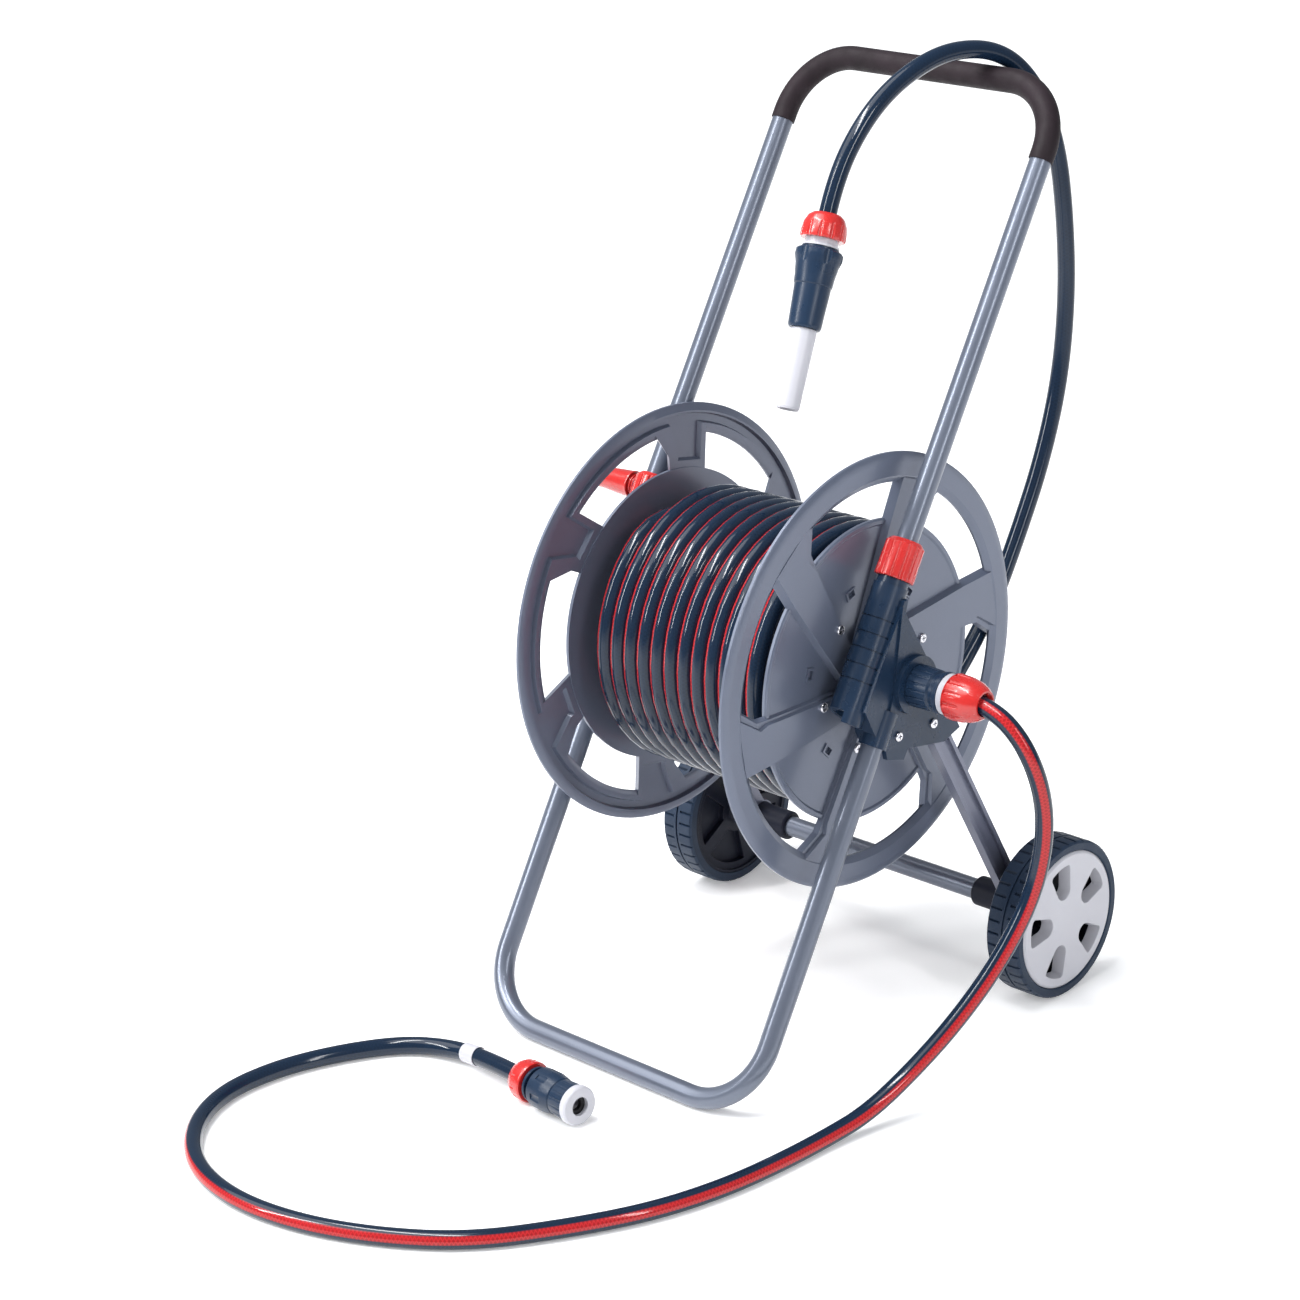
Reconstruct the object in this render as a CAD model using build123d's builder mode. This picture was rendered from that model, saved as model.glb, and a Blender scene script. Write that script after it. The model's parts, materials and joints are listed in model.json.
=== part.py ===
from build123d import *
import math
import os

os.makedirs("parts", exist_ok=True)

# A two-wheeled garden hose cart. Millimetres, +Z up, +X to the water inlet side,
# -Y to the foot bar and +Y to the wheels. The origin is on the ground under the cart's middle.

# ---------------------------------------------------------------- driving dimensions
TUBE_R = 10.0             # frame, handle and axle tubes
TUBE_WALL = 1.2
RUNNING_FIT = 0.08        # radial clearance of a shaft in its hole
LOOSE_FIT = 0.3           # clearance round a piece that only passes through

REEL_Y = -10.5            # reel axis
REEL_Z = 352.7

FLANGE_R = 200.0
RING_INNER_R = 172.5
DISC_R = 139.5
FLANGE_X = 117.5          # inner face of each flange
DISC_THICK = 3.0
SPOKES = 6
SPOKE_TURN = 60.0
RIGHT_PHASE = 10.0        # angle of the first spoke, from +Y towards +Z
LEFT_PHASE = 18.8
DRUM_R = 86.0
JOURNAL_R = 12.0

LEG_X = 162.6             # lower frame tube
LEG_LEAN = 31.07          # degrees back from upright
FOOT_Y = -233.8
FOOT_BEND_R = 65.0
LEG_TOP_Z = 330.0

HANDLE_X = 151.0          # sliding handle tube
HANDLE_LEAN = 31.8
HANDLE_AXIS_Y = -68.7     # where the handle's centreline passes the reel's height
HANDLE_TOP = 572.0        # along the handle from there to the top bar
HANDLE_FOOT = 14.0        # and to the lower end, inside the socket
HANDLE_BEND_R = 60.0
GRIP_R = 11.25

WHEEL_R = 77.0
WHEEL_Y = 153.9
WHEEL_IN = 186.0          # inner face of each wheel
WHEEL_OUT = 223.5
AXLE_ROD_R = 5.0

SOCKET_R = 16.0
SOCKET_BOTTOM = -24.0     # distances along the handle
SOCKET_TOP = 104.0
COLLAR_TOP = 110.0
NECK_TOP = 131.0
NECK_R = 13.2
CLAMP_TOP = 146.0
CLAMP_R = 18.3

CRANK_REACH = 107.5
CRANK_ANGLE = 70.0        # from +Y towards +Z

HOSE_R = 8.25
COIL_TURNS = 12
COIL_PITCH = 17.1
COIL_START = -97.0
COIL_R = 134.0


# ---------------------------------------------------------------- helpers
REEL_CENTRE = (0, REEL_Y, REEL_Z)
HANDLE_DIR = (0, math.sin(math.radians(HANDLE_LEAN)), math.cos(math.radians(HANDLE_LEAN)))
LEG_DIR = (0, math.sin(math.radians(LEG_LEAN)), math.cos(math.radians(LEG_LEAN)))


def along(origin, direction, distance):
    """The point at that distance from the origin in that direction."""
    return Vector(*origin) + Vector(*direction).normalized() * distance


def reel_plane(x):
    """Plane across the reel axis at x: its local x is +Y and its local y is +Z."""
    return Plane(origin=(x, REEL_Y, REEL_Z), x_dir=(0, 1, 0), z_dir=(1, 0, 0))


def section_plane(origin, direction):
    """Plane that holds an axis: its local x runs along the axis and its local y is the radius."""
    line = Vector(*direction).normalized()
    beside = Vector(0, 0, 1) if abs(line.Z) < 0.9 else Vector(1, 0, 0)
    return Plane(origin=origin, x_dir=line, z_dir=line.cross(beside))


def cross_plane(origin, direction, distance=0.0):
    """Plane square to an axis, at that distance along it."""
    return Plane(origin=along(origin, direction, distance), z_dir=direction)


def turned(origin, direction, outline, flutes=None):
    """A turned piece: outline holds (distance along the axis, radius) points.
    flutes is (count, ring radius, cutter radius, start, length) of grooves cut along it."""
    with BuildPart() as piece:
        with BuildSketch(section_plane(origin, direction)):
            Polygon(*outline, align=None)
        revolve(axis=Axis(origin, direction))
        if flutes:
            count, ring_r, cutter_r, start, length = flutes
            with BuildSketch(cross_plane(origin, direction, start)):
                with PolarLocations(ring_r, count):
                    Circle(cutter_r)
            extrude(amount=length, mode=Mode.SUBTRACT)
    return piece


def bent_tube(points, bend_r, outer_r, inner_r):
    """A tube of that section along straight runs joined by bends."""
    with BuildPart() as piece:
        with BuildLine() as path:
            FilletPolyline(*points, radius=bend_r)
        start = Plane(origin=path.line @ 0, z_dir=path.line % 0)
        with BuildSketch(start):
            Circle(outer_r)
            if inner_r:
                Circle(inner_r, mode=Mode.SUBTRACT)
        sweep(path=path.line)
    return piece


def screw(head_r, shank_r, length):
    """A pan-head cross-recess screw, pointing along -Z from the seat of its head."""
    with BuildPart() as piece:
        Cylinder(shank_r, length, align=(Align.CENTER, Align.CENTER, Align.MAX))
        Cylinder(head_r, 2.6, align=(Align.CENTER, Align.CENTER, Align.MIN))
        fillet(piece.edges().filter_by(GeomType.CIRCLE).sort_by(Axis.Z)[-1], 1.4)
        with BuildSketch(Plane.XY.offset(1.0)):
            Rectangle(head_r * 1.1, 1.1)
            Rectangle(1.1, head_r * 1.1)
        extrude(amount=3, mode=Mode.SUBTRACT)
    return piece.part


def save(piece, name):
    piece.part.label = name
    export_step(piece.part, f"parts/{name}.step")


def mirrored(piece):
    """The same piece for the left side."""
    with BuildPart() as twin:
        mirror(piece.part, about=Plane.YZ)
    return twin


# ---------------------------------------------------------------- lower frame
leg_rise = (LEG_TOP_Z - TUBE_R) * math.tan(math.radians(LEG_LEAN))
leg_top = (FOOT_Y + leg_rise, LEG_TOP_Z)
frame_tube = bent_tube(
    [(LEG_X, *leg_top), (LEG_X, FOOT_Y, TUBE_R), (-LEG_X, FOOT_Y, TUBE_R), (-LEG_X, *leg_top)],
    FOOT_BEND_R, TUBE_R, TUBE_R - TUBE_WALL,
)
save(frame_tube, "frame_tube")

# ---------------------------------------------------------------- side brackets
PLATE_IN = 168.0
PLATE_OUT = 173.0
BOSS_OUT = 178.0
BOSS_R = 27.0
STRUT_IN = 158.0
PLATE_OUTLINE = [(-14, 76), (66, -62), (43, -69), (-8, -59), (-14, -68), (-37, -61), (-41, -42), (-27, 0)]
WEB_OUTLINE = [(-64, -8), (-9, 80), (-4, 80), (-17, 41), (-26, 0), (-36, -42), (-46, -44)]
PLATE_SCREWS = [(-22, -43), (27, -46)]
STRUT_TOP = (33.0, -44.0)
SOCKET_FOOT = (HANDLE_X, HANDLE_AXIS_Y, REEL_Z)
LEG_SEAT = (LEG_X, FOOT_Y + (REEL_Z - TUBE_R) * math.tan(math.radians(LEG_LEAN)), REEL_Z)
LEG_SEAT_LOW = -56.0
LEG_SEAT_HIGH = -22.0
SCREW_HOLE_R = 2.1
GROOVES = 5
FIRST_GROOVE = 14.0
GROOVE_PITCH = 14.4
MOUTH_CUT = [(-88, 6), (-50, -32), (-50, -60), (-100, -60), (-100, 6)]

with BuildPart() as bracket_right:
    # rear plate and the web that joins the two tube sockets
    with BuildSketch(reel_plane(PLATE_IN)):
        Polygon(*PLATE_OUTLINE, align=None)
    extrude(amount=PLATE_OUT - PLATE_IN)
    with BuildSketch(reel_plane(HANDLE_X - 4)):
        Polygon(*WEB_OUTLINE, align=None)
    extrude(amount=PLATE_OUT - HANDLE_X + 2)
    # hub boss round the reel journal
    with BuildSketch(reel_plane(STRUT_IN)):
        Circle(BOSS_R)
    extrude(amount=BOSS_OUT - STRUT_IN)
    # inclined handle socket with its threaded neck
    with BuildSketch(cross_plane(SOCKET_FOOT, HANDLE_DIR, SOCKET_BOTTOM)):
        Circle(SOCKET_R)
    extrude(amount=SOCKET_TOP - SOCKET_BOTTOM)
    with BuildSketch(cross_plane(SOCKET_FOOT, HANDLE_DIR, SOCKET_TOP)):
        Circle(SOCKET_R - 1.6)
    extrude(amount=COLLAR_TOP - SOCKET_TOP)
    with BuildSketch(cross_plane(SOCKET_FOOT, HANDLE_DIR, COLLAR_TOP)):
        Circle(NECK_R)
    extrude(amount=NECK_TOP - COLLAR_TOP)
    # lower socket on the leg tube
    with BuildSketch(cross_plane(LEG_SEAT, LEG_DIR, LEG_SEAT_LOW)):
        Circle(13.0)
    extrude(amount=LEG_SEAT_HIGH - LEG_SEAT_LOW)
    # ring grooves that mark the socket
    for groove in range(GROOVES):
        mark = FIRST_GROOVE + groove * GROOVE_PITCH
        with BuildSketch(cross_plane(SOCKET_FOOT, HANDLE_DIR, mark)):
            Circle(SOCKET_R + 0.6)
            Circle(SOCKET_R - 0.9, mode=Mode.SUBTRACT)
        extrude(amount=1.3, mode=Mode.SUBTRACT)
    # the socket's mouth is cut on the slant, so its front wall is the shorter one
    with BuildSketch(reel_plane(HANDLE_X - SOCKET_R - 2)):
        Polygon(*MOUTH_CUT, align=None)
    extrude(amount=SOCKET_R + 9.5, mode=Mode.SUBTRACT)
    # bores for the handle tube, the leg tube and the reel journal
    with BuildSketch(cross_plane(SOCKET_FOOT, HANDLE_DIR, SOCKET_BOTTOM - 30)):
        Circle(TUBE_R + RUNNING_FIT)
    extrude(amount=NECK_TOP - SOCKET_BOTTOM + 40, mode=Mode.SUBTRACT)
    with BuildSketch(cross_plane(LEG_SEAT, LEG_DIR, LEG_SEAT_LOW - 30)):
        Circle(TUBE_R)
    extrude(amount=LEG_SEAT_HIGH - LEG_SEAT_LOW + 26.6, mode=Mode.SUBTRACT)
    with BuildSketch(reel_plane(HANDLE_X - 30)):
        Circle(JOURNAL_R + RUNNING_FIT)
    extrude(amount=80, mode=Mode.SUBTRACT)
    with BuildSketch(reel_plane(PLATE_IN - 8)):
        with Locations(*PLATE_SCREWS):
            Circle(SCREW_HOLE_R)
    extrude(amount=30, mode=Mode.SUBTRACT)
bracket_left = mirrored(bracket_right)
save(bracket_right, "bracket_right")
save(bracket_left, "bracket_left")

# ---------------------------------------------------------------- rear struts
STRUT_HALF = 11.0
EYE_R = 17.0
axle_spot = (WHEEL_Y - REEL_Y, WHEEL_R - REEL_Z)
strut_run = Vector(axle_spot[0] - STRUT_TOP[0], axle_spot[1] - STRUT_TOP[1])
strut_across = Vector(-strut_run.Y, strut_run.X).normalized()


def strut_strip(half):
    """Outline of the strut's bar, of that half width, from its top end to the axle eye."""
    top = Vector(*STRUT_TOP)
    foot = Vector(*axle_spot)
    side = strut_across * half
    corners = [top + side, foot + side, foot - side, top - side]
    return [(c.X, c.Y) for c in corners]


with BuildPart() as strut_right:
    with BuildSketch(reel_plane(STRUT_IN)):
        Polygon(*strut_strip(STRUT_HALF), align=None)
        with Locations(axle_spot):
            Circle(EYE_R)
        with Locations(STRUT_TOP):
            Circle(STRUT_HALF)
        Circle(BOSS_R + 0.1, mode=Mode.SUBTRACT)
    extrude(amount=PLATE_IN - STRUT_IN)
    # a channel down the outer face leaves a rib along each edge
    with BuildSketch(reel_plane(PLATE_IN - 4)):
        Polygon(*strut_strip(STRUT_HALF - 4), align=None)
        with Locations(axle_spot):
            Circle(EYE_R, mode=Mode.SUBTRACT)
        Circle(88, mode=Mode.SUBTRACT)
    extrude(amount=5, mode=Mode.SUBTRACT)
    with BuildSketch(reel_plane(STRUT_IN)):
        with Locations(axle_spot):
            Circle(TUBE_R)
        with Locations(PLATE_SCREWS[1]):
            Circle(SCREW_HOLE_R)
    extrude(amount=PLATE_IN - STRUT_IN, mode=Mode.SUBTRACT)
strut_left = mirrored(strut_right)
save(strut_right, "strut_right")
save(strut_left, "strut_left")

plate_screw = screw(4.6, 2.0, 12)
with BuildPart() as bracket_screws:
    for side in (1, -1):
        for spot_y, spot_z in PLATE_SCREWS:
            seat = Plane(
                origin=(side * PLATE_OUT, REEL_Y + spot_y, REEL_Z + spot_z), z_dir=(side, 0, 0)
            )
            add(seat.location * plate_screw)
save(bracket_screws, "bracket_screws")

# ---------------------------------------------------------------- axle
AXLE_TUBE_END = 170.0
with BuildPart() as axle_tube:
    with BuildSketch(Plane(origin=(-AXLE_TUBE_END, WHEEL_Y, WHEEL_R), z_dir=(1, 0, 0))):
        Circle(TUBE_R)
        Circle(TUBE_R - TUBE_WALL, mode=Mode.SUBTRACT)
    extrude(amount=2 * AXLE_TUBE_END)
save(axle_tube, "axle_tube")

AXLE_CENTRE = (0, WHEEL_Y, WHEEL_R)
axle_rod = turned(AXLE_CENTRE, (1, 0, 0), [(-215, 0), (-215, 4), (-214, 5), (214, 5), (215, 4), (215, 0)])
save(axle_rod, "axle_rod")

# bush round the axle tube, inboard of each strut
axle_bush_right = turned(
    AXLE_CENTRE, (1, 0, 0),
    [(118.5, TUBE_R), (118.5, 13), (120.5, 14.5), (150, 14.5), (STRUT_IN, 15.5), (STRUT_IN, TUBE_R)],
)
save(axle_bush_right, "axle_bush_right")
save(mirrored(axle_bush_right), "axle_bush_left")

plug_r = TUBE_R - TUBE_WALL
axle_collar_right = turned(
    AXLE_CENTRE, (1, 0, 0),
    [(150, AXLE_ROD_R), (150, plug_r), (AXLE_TUBE_END, plug_r), (AXLE_TUBE_END, 13), (171, 14.5),
     (184, 14.5), (185.4, 12), (185.4, AXLE_ROD_R)],
)
axle_collar_left = mirrored(axle_collar_right)
save(axle_collar_right, "axle_collar_right")
save(axle_collar_left, "axle_collar_left")

# ---------------------------------------------------------------- wheels
RIM_R = 67.4
RIM_WALL = 3.4
HUB_R = 15.0
HUB_OUT = 211.0
CAP_R = 67.0
CAP_IN = 220.0            # back of the white cap's plate
CAP_DEPTH = 8.0           # wells round its windows, behind the plate
WINDOWS = 5
WINDOW_PHASE = 31.0
TREADS = 40



def wheel_plane(x):
    """Plane across the axle at x: its local x is +Y and its local y is +Z."""
    return Plane(origin=(x, WHEEL_Y, WHEEL_R), x_dir=(0, 1, 0), z_dir=(1, 0, 0))


with BuildPart() as tyre_right:
    with BuildSketch(section_plane(AXLE_CENTRE, (1, 0, 0))):
        Polygon(
            (WHEEL_IN, RIM_R), (WHEEL_IN, 74.5), (WHEEL_IN + 2, WHEEL_R - 0.4), (WHEEL_IN + 5, WHEEL_R),
            (WHEEL_OUT - 5, WHEEL_R), (WHEEL_OUT - 2, WHEEL_R - 0.4), (WHEEL_OUT, 74.5), (WHEEL_OUT, 68.6),
            (WHEEL_OUT - 1.2, RIM_R), align=None,
        )
    revolve(axis=Axis(AXLE_CENTRE, (1, 0, 0)))
    # slanted tread grooves from each edge
    for start, offset in ((WHEEL_IN - 1, 4.5), (WHEEL_OUT - 15, 0)):
        with BuildSketch(wheel_plane(start)):
            with PolarLocations(WHEEL_R + 0.4, TREADS, start_angle=offset):
                Rectangle(4.4, 2.4, rotation=24)
        extrude(amount=16, mode=Mode.SUBTRACT)
    # groove round the middle of the tread
    with BuildSketch(wheel_plane((WHEEL_IN + WHEEL_OUT) / 2 - 1)):
        Circle(WHEEL_R + 1)
        Circle(WHEEL_R - 1.6, mode=Mode.SUBTRACT)
    extrude(amount=2, mode=Mode.SUBTRACT)

with BuildPart() as rim_right:
    with BuildSketch(section_plane(AXLE_CENTRE, (1, 0, 0))):
        Polygon(
            (WHEEL_IN + 0.5, RIM_R), (WHEEL_IN + 0.5, RIM_R - RIM_WALL), (CAP_IN, RIM_R - RIM_WALL),
            (CAP_IN, RIM_R), align=None,
        )
        Polygon(
            (WHEEL_IN, AXLE_ROD_R + RUNNING_FIT), (WHEEL_IN, HUB_R - 2), (WHEEL_IN + 2, HUB_R),
            (HUB_OUT, HUB_R), (HUB_OUT, AXLE_ROD_R + RUNNING_FIT), align=None,
        )
    revolve(axis=Axis(AXLE_CENTRE, (1, 0, 0)))
    with BuildSketch(wheel_plane(WHEEL_IN + 9)):
        Circle(RIM_R - 2)
        Circle(HUB_R - 2, mode=Mode.SUBTRACT)
    extrude(amount=3)
    # five raised spokes and the rings they run between, on the inner side
    with BuildSketch(wheel_plane(WHEEL_IN + 3)):
        Circle(RIM_R - 1)
        Circle(57, mode=Mode.SUBTRACT)
        with PolarLocations(40, WINDOWS, start_angle=WINDOW_PHASE + 36):
            Rectangle(50, 15)
        Circle(24)
        Circle(HUB_R - 2, mode=Mode.SUBTRACT)
    extrude(amount=7)

# one window of the cap: a rounded end towards the hub and a wider outer end
with BuildSketch() as cap_window:
    with BuildLine():
        Polyline((55, 15), (33, 10))
        ThreePointArc((33, 10), (24, 0), (33, -10))
        Polyline((33, -10), (55, -15))
        ThreePointArc((55, -15), (57.5, 0), (55, 15))
    make_face()
    fillet(cap_window.vertices().group_by(Axis.X)[-1], 4)

with BuildPart() as wheel_cap_right:
    with BuildSketch(section_plane(AXLE_CENTRE, (1, 0, 0))):
        Polygon(
            (CAP_IN, 0), (CAP_IN, CAP_R), (CAP_IN + 2.2, CAP_R), (CAP_IN + 4, CAP_R - 2.5),
            (CAP_IN + 4.6, 30), (CAP_IN + 5, 0), align=None,
        )
        Polygon((CAP_IN - 1, 0), (CAP_IN - 1, 9), (CAP_IN + 2, 9), (CAP_IN + 2, 0), align=None,
                mode=Mode.SUBTRACT)
    revolve(axis=Axis(AXLE_CENTRE, (1, 0, 0)))
    # wells behind the plate, then the windows, which narrow inwards
    with BuildSketch(wheel_plane(CAP_IN + 0.5)):
        with PolarLocations(0, WINDOWS, start_angle=WINDOW_PHASE):
            add(cap_window.sketch)
    extrude(amount=-CAP_DEPTH)
    with BuildSketch(wheel_plane(CAP_IN + 6)):
        with PolarLocations(0, WINDOWS, start_angle=WINDOW_PHASE):
            add(cap_window.sketch)
    extrude(amount=-(CAP_DEPTH + 8), taper=12, mode=Mode.SUBTRACT)
    # snap hooks that hold the cap in the rim
    with BuildSketch(wheel_plane(CAP_IN + 0.5)):
        with PolarLocations(RIM_R - RIM_WALL - 2, WINDOWS, start_angle=WINDOW_PHASE + 36):
            Rectangle(2.4, 8)
    extrude(amount=-7)

wheel_clip_right = turned(
    AXLE_CENTRE, (1, 0, 0),
    [(HUB_OUT + 0.3, AXLE_ROD_R), (HUB_OUT + 0.3, 8.5), (HUB_OUT + 1.5, 8.5), (HUB_OUT + 2.6, 6),
     (HUB_OUT + 2.6, AXLE_ROD_R)],
)
for stem, piece in (
    ("tyre", tyre_right), ("wheel_rim", rim_right), ("wheel_cap", wheel_cap_right),
    ("wheel_clip", wheel_clip_right),
):
    save(piece, f"{stem}_right")
    save(mirrored(piece), f"{stem}_left")

# ---------------------------------------------------------------- reel
RING_PROFILE = [
    (FLANGE_X + 3.2, RING_INNER_R), (FLANGE_X + 1, 178), (FLANGE_X + 1, 193), (FLANGE_X + 4, FLANGE_R),
    (FLANGE_X + 6.5, FLANGE_R), (FLANGE_X + 8.6, 197), (FLANGE_X + 9.5, 191), (FLANGE_X + 9.5, 178.5),
    (FLANGE_X + 5.5, RING_INNER_R),
]
SPOKE_OUTLINE = [
    (180, 20), (135, 25), (60, 30), (20, 33), (20, -3), (48, -3), (140, -22), (149, -21), (180, -50),
]
SPOKE_STEP = [(150, -27), (180, -58), (180, -28), (144, -4), (60, 12), (48, -5), (139, -24)]
SPOKE_DRAFT = 26.0        # degrees that the spokes' sides slope
# hollow back of the ring and the spokes
RING_HOLLOW = [
    (FLANGE_X, 181), (FLANGE_X, 191.5), (FLANGE_X + 5.2, 189.5), (FLANGE_X + 5.2, 183),
]
SPOKE_HOLLOW = [(186, 13), (146, 17), (146, -14), (152, -14), (186, -34)]
SPOKE_HOLLOW_DEPTH = 4.2
SCREW_RING = 70.0
CLIP_RING = 82.0


def build_flange(side, phase):
    """One reel flange: ring, six leaning spokes, hub and the disc that closes the drum."""
    section = section_plane(REEL_CENTRE, (side, 0, 0))
    with BuildPart() as flange:
        with BuildSketch(section):
            Polygon(*RING_PROFILE, align=None)
        revolve(axis=Axis(REEL_CENTRE, (side, 0, 0)))
        with BuildSketch(reel_plane(side * FLANGE_X)):
            Circle(DISC_R)
        extrude(amount=side * DISC_THICK)
        # raised edge of the disc
        with BuildSketch(section):
            edge = [(DISC_THICK - 0.5, DISC_R - 7), (DISC_THICK + 1.4, DISC_R - 4.5),
                    (DISC_THICK + 1.4, DISC_R - 1.2), (DISC_THICK - 0.5, DISC_R)]
            Polygon(*[(FLANGE_X + x, r) for x, r in edge], align=None)
        revolve(axis=Axis(REEL_CENTRE, (side, 0, 0)))
        # spokes: a thick bar with a lower step along one edge
        for outline, thick in ((SPOKE_OUTLINE, 8.0), (SPOKE_STEP, 5.0)):
            with BuildSketch(reel_plane(side * (FLANGE_X + 1))):
                with PolarLocations(0, SPOKES, start_angle=phase):
                    Polygon(*[(r, side * t) for r, t in outline], align=None)
            extrude(amount=side * thick, taper=SPOKE_DRAFT)
        # hollow back, open towards the drum
        with BuildSketch(section):
            Polygon(*RING_HOLLOW, align=None)
        revolve(axis=Axis(REEL_CENTRE, (side, 0, 0)), mode=Mode.SUBTRACT)
        with BuildSketch(reel_plane(side * (FLANGE_X + 1))):
            with PolarLocations(0, SPOKES, start_angle=phase):
                Polygon(*[(r, side * t) for r, t in SPOKE_HOLLOW], align=None)
        extrude(amount=side * SPOKE_HOLLOW_DEPTH, taper=SPOKE_DRAFT, mode=Mode.SUBTRACT)
        # clip seats on the disc between the spokes
        with BuildSketch(reel_plane(side * FLANGE_X)):
            with PolarLocations(CLIP_RING, SPOKES, start_angle=phase + side * 36):
                Rectangle(9, 13)
        extrude(amount=side * (DISC_THICK + 1.4))
        with BuildSketch(reel_plane(side * (FLANGE_X + 1))):
            with PolarLocations(CLIP_RING, SPOKES, start_angle=phase + side * 36):
                Rectangle(6, 8)
        extrude(amount=side * 8, mode=Mode.SUBTRACT)
        # hub
        with BuildSketch(reel_plane(side * FLANGE_X)):
            RegularPolygon(45, SPOKES, rotation=phase + 30)
        extrude(amount=side * 14)
        with BuildSketch(reel_plane(side * (FLANGE_X - 1))):
            Circle(JOURNAL_R)
            with PolarLocations(SCREW_RING, SPOKES, start_angle=phase):
                Circle(SCREW_HOLE_R)
        extrude(amount=side * 30, mode=Mode.SUBTRACT)
    return flange


save(build_flange(1, RIGHT_PHASE), "flange_right")
save(build_flange(-1, LEFT_PHASE), "flange_left")

SCREW_POST_R = 5.0
with BuildPart() as drum:
    with BuildSketch(reel_plane(-FLANGE_X)):
        Circle(DRUM_R)
        Circle(DRUM_R - 3, mode=Mode.SUBTRACT)
    extrude(amount=2 * FLANGE_X)
    # end webs carry the screw posts
    for side, phase in ((1, RIGHT_PHASE), (-1, LEFT_PHASE)):
        with BuildSketch(reel_plane(side * FLANGE_X)):
            Circle(DRUM_R - 1)
            Circle(SCREW_RING - 9, mode=Mode.SUBTRACT)
        extrude(amount=-side * 3)
        with BuildSketch(reel_plane(side * FLANGE_X)):
            with PolarLocations(SCREW_RING, SPOKES, start_angle=phase):
                Circle(SCREW_POST_R)
        extrude(amount=-side * 22)
        with BuildSketch(reel_plane(side * FLANGE_X)):
            with PolarLocations(SCREW_RING, SPOKES, start_angle=phase):
                Circle(2.0)
        extrude(amount=-side * 18, mode=Mode.SUBTRACT)
    # opening where the hose comes out of the drum
    with BuildSketch(Plane(origin=(-88, REEL_Y, REEL_Z), z_dir=(0, 0, 1))):
        Circle(11)
    extrude(amount=DRUM_R + 5, mode=Mode.SUBTRACT)
save(drum, "drum")

flange_screw = screw(4.6, 1.95, 24)
with BuildPart() as flange_screws:
    for side, phase in ((1, RIGHT_PHASE), (-1, LEFT_PHASE)):
        for turn in range(SPOKES):
            angle = math.radians(phase + turn * SPOKE_TURN)
            spot = Vector(
                side * (FLANGE_X + 9), REEL_Y + SCREW_RING * math.cos(angle),
                REEL_Z + SCREW_RING * math.sin(angle),
            )
            add(Plane(origin=spot, z_dir=(side, 0, 0)).location * flange_screw)
save(flange_screws, "flange_screws")

# water journal on the inlet side, hollow, with an elbow to the drum's outlet inside
JOURNAL_END = 192.0
WATER_R = 7.0
water_journal = turned(
    REEL_CENTRE, (1, 0, 0),
    [(96, WATER_R), (96, 20), (FLANGE_X, 20), (FLANGE_X, JOURNAL_R), (JOURNAL_END, JOURNAL_R),
     (JOURNAL_END, WATER_R)],
)
save(water_journal, "water_journal")

water_pipe = bent_tube(
    [(96, REEL_Y, REEL_Z), (-88, REEL_Y, REEL_Z), (-88, REEL_Y, REEL_Z + DRUM_R - 4)], 28, 9.5, WATER_R
)
save(water_pipe, "water_pipe")

CRANK_IN = 179.5
CRANK_OUT = 190.5
crank_shaft = turned(
    REEL_CENTRE, (-1, 0, 0),
    [(100, 0), (100, 20), (FLANGE_X, 20), (FLANGE_X, JOURNAL_R), (CRANK_IN, JOURNAL_R),
     (CRANK_IN, 8), (CRANK_OUT, 8), (CRANK_OUT, 0)],
)
save(crank_shaft, "crank_shaft")

# ---------------------------------------------------------------- crank
crank_turn = math.radians(CRANK_ANGLE)
GRIP_SPOT = (CRANK_REACH * math.cos(crank_turn), CRANK_REACH * math.sin(crank_turn))
GRIP_CENTRE = (0, REEL_Y + GRIP_SPOT[0], REEL_Z + GRIP_SPOT[1])
PIN_R = 4.0

with BuildPart() as crank_arm:
    with BuildSketch(reel_plane(-CRANK_IN)):
        Circle(19)
        with Locations(GRIP_SPOT):
            Circle(13)
        across = Vector(-GRIP_SPOT[1], GRIP_SPOT[0]).normalized()
        low = across * 14
        high = across * 10
        tip = Vector(*GRIP_SPOT)
        Polygon((low.X, low.Y), (tip.X + high.X, tip.Y + high.Y), (tip.X - high.X, tip.Y - high.Y),
                (-low.X, -low.Y), align=None)
        Circle(8, mode=Mode.SUBTRACT)
        with Locations(GRIP_SPOT):
            Circle(PIN_R, mode=Mode.SUBTRACT)
    extrude(amount=CRANK_IN - CRANK_OUT)
    chamfer(crank_arm.faces().sort_by(Axis.X)[0].outer_wire().edges(), 2)
save(crank_arm, "crank_arm")

crank_cap = turned(
    REEL_CENTRE, (-1, 0, 0),
    [(CRANK_OUT, 0), (CRANK_OUT, 14), (CRANK_OUT + 3, 13), (CRANK_OUT + 6, 8), (CRANK_OUT + 6, 0)],
)
save(crank_cap, "crank_cap")

crank_pin = turned(
    GRIP_CENTRE, (-1, 0, 0),
    [(CRANK_IN - 0.6, 0), (CRANK_IN - 0.6, 4), (246, PIN_R), (246, 7), (249, 7), (249, 0)],
)
save(crank_pin, "crank_pin")

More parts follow.
